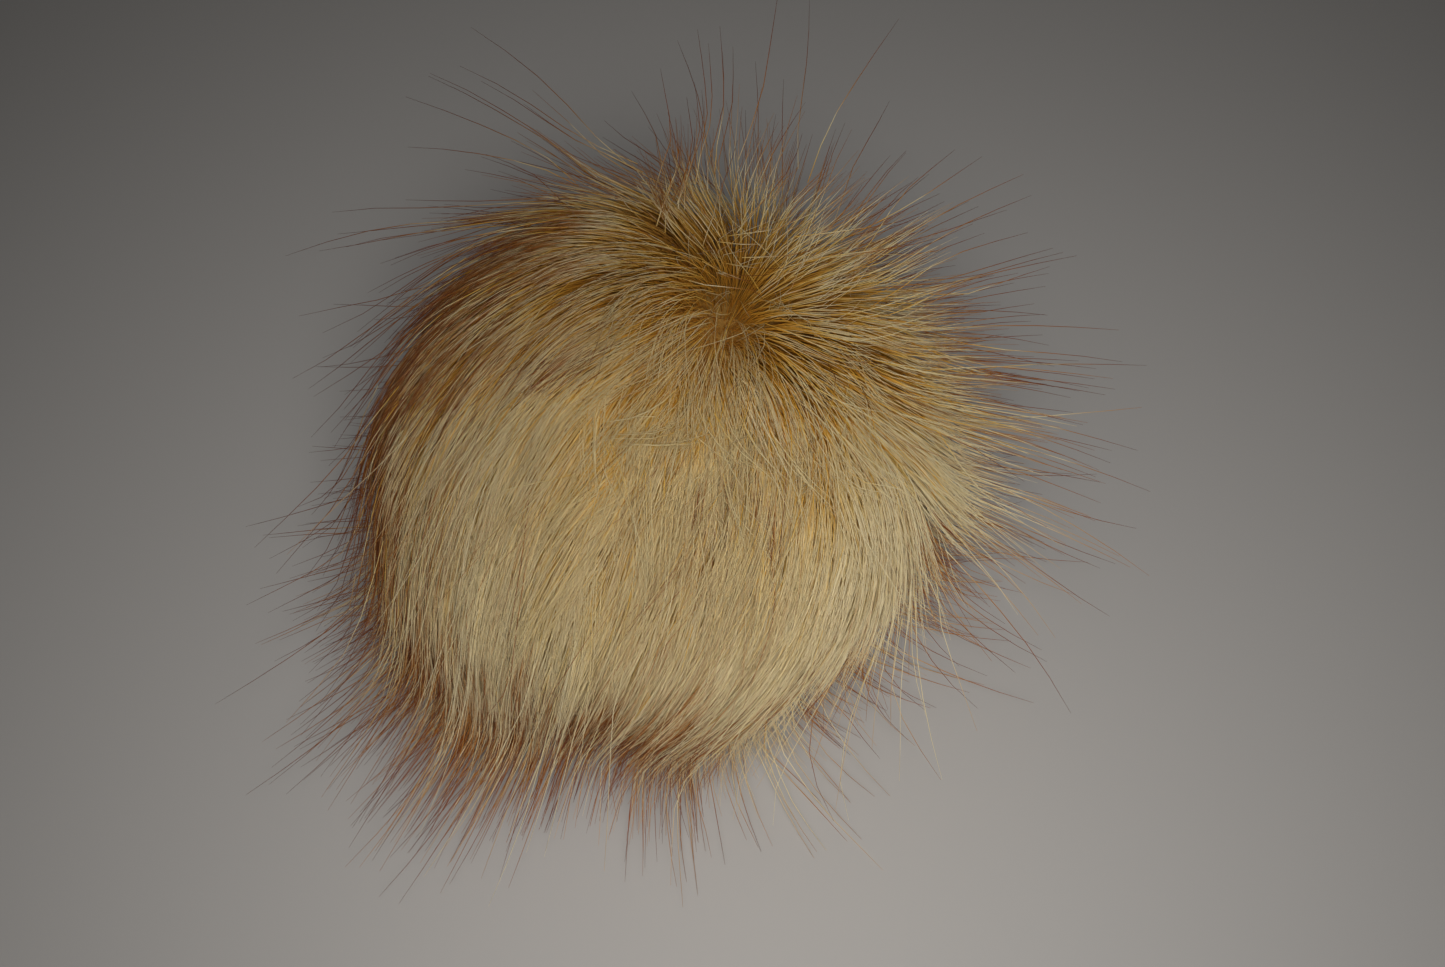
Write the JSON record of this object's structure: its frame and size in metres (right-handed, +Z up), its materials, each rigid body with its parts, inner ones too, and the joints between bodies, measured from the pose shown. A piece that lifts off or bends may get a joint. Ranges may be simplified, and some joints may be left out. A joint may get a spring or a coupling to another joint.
{
  "type": "faux fur pom pom",
  "caption": "Round faux-fur pom pom with long combed pile, cream and golden with brown tips, resting on its gathered base.",
  "frame": {"origin": "centre of the flat gathered base, on the surface that the pom pom rests on", "axes": "+Z up, away from the surface; +Y towards the back, so that the pile combed to the front faces -Y; +X towards the side that the whorl leans to"},
  "size_m": [0.1323, 0.1207, 0.0896],
  "materials": {
    "faux_fur": "soft long pile with a slight sheen"
  },
  "bodies": {
    "root": {"fur_ball": "faux_fur"}
  },
  "joints": []
}
